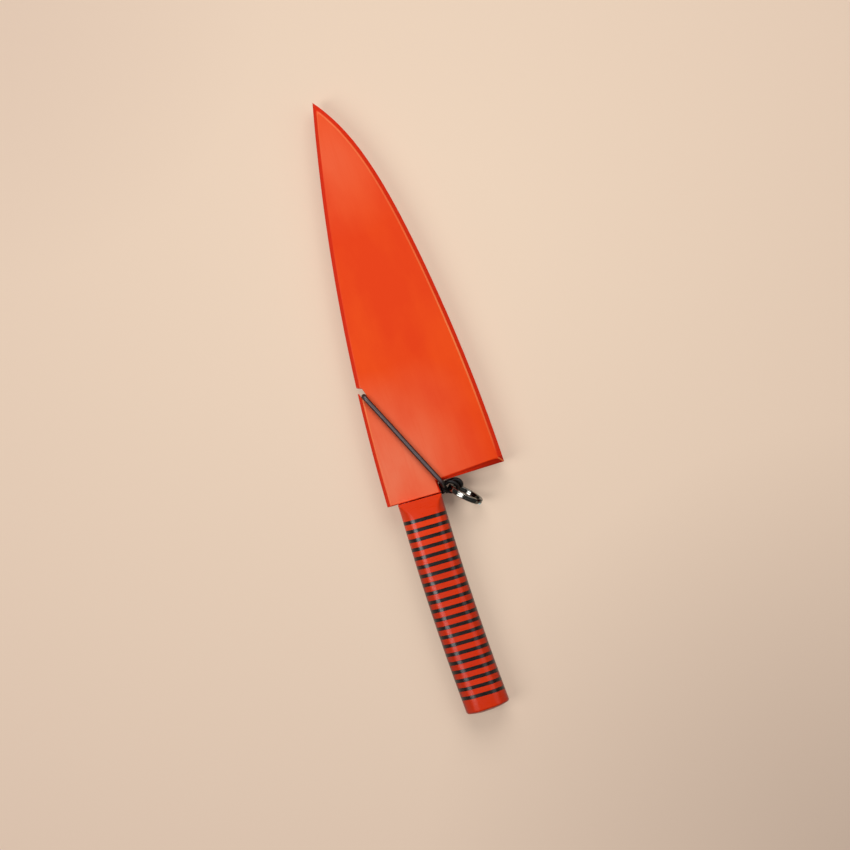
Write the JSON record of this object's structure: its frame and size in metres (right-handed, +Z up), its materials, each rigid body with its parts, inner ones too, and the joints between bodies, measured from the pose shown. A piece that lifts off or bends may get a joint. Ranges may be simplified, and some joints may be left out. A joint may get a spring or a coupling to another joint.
{
  "type": "sheathed chef's knife with blade guard",
  "caption": "Chef's knife in a bevelled wooden blade guard, held by an elastic cord hooked in a notch, with a knotted eye and a pull ring.",
  "frame": {"origin": "middle of the footprint of the whole sheathed knife, on the surface it lies on", "axes": "+Y from the handle to the tip, +X to the cutting edge, +Z up off the front face"},
  "size_m": [0.068, 0.3434, 0.0206],
  "materials": {
    "guard_paint": "satin orange-red paint on wood",
    "guard_core": "satin orange-red paint on wood",
    "handle_orange": "satin laminate",
    "handle_black": "satin laminate",
    "blade_steel": "brushed along the blade",
    "elastic": "smooth elastic cord",
    "chrome": "polished"
  },
  "bodies": {
    "guard": {"front_cover": "guard_paint", "back_cover": "guard_paint", "spine_strip": "guard_core", "edge_strip": "guard_core"},
    "knife": {"blade": "blade_steel", "bolster": "handle_orange", "black_ring_01": "handle_black", "black_ring_02": "handle_black", "black_ring_03": "handle_black", "black_ring_04": "handle_black", "black_ring_05": "handle_black", "black_ring_06": "handle_black", "black_ring_07": "handle_black", "black_ring_08": "handle_black", "black_ring_09": "handle_black", "black_ring_10": "handle_black", "black_ring_11": "handle_black", "black_ring_12": "handle_black", "black_ring_13": "handle_black", "black_ring_14": "handle_black", "black_ring_15": "handle_black", "black_ring_16": "handle_black", "black_ring_17": "handle_black", "black_ring_18": "handle_black", "black_ring_19": "handle_black", "black_ring_20": "handle_black", "black_ring_21": "handle_black", "orange_ring_01": "handle_orange", "orange_ring_02": "handle_orange", "orange_ring_03": "handle_orange", "orange_ring_04": "handle_orange", "orange_ring_05": "handle_orange", "orange_ring_06": "handle_orange", "orange_ring_07": "handle_orange", "orange_ring_08": "handle_orange", "orange_ring_09": "handle_orange", "orange_ring_10": "handle_orange", "orange_ring_11": "handle_orange", "orange_ring_12": "handle_orange", "orange_ring_13": "handle_orange", "orange_ring_14": "handle_orange", "orange_ring_15": "handle_orange", "orange_ring_16": "handle_orange", "orange_ring_17": "handle_orange", "orange_ring_18": "handle_orange", "orange_ring_19": "handle_orange", "orange_ring_20": "handle_orange", "end_cap": "handle_orange"},
    "elastic": {"elastic_cord": "elastic"},
    "pull_tab": {"cord_knot": "elastic", "cord_eye": "elastic"},
    "ring": {"pull_ring": "chrome"}
  },
  "joints": [
    {"name": "knife_draw", "type": "slide", "parent": "guard", "child": "knife", "axis": [0, -1, 0], "range_m": [0, 0.225], "deforming": ["elastic_cord"]},
    {"name": "loop_unhook", "type": "hinge", "parent": "knife", "child": "elastic", "pos_m": [0.00472, -0.04592, 0.0095], "axis": [0, 0, 1], "range_deg": [0, 15], "deforming": ["elastic_cord"]},
    {"name": "tab_pull", "type": "slide", "parent": "elastic", "child": "pull_tab", "axis": [0.3903, -0.9207, 0], "range_m": [0, 0.012], "stiffness_N_per_m": 300, "deforming": ["elastic_cord"]},
    {"name": "ring_swing", "type": "hinge", "parent": "pull_tab", "child": "ring", "pos_m": [0.00192, -0.04962, 0.01039], "axis": [-0.1228, -0.1228, 0.9848], "range_deg": [-30, 30]}
  ]
}
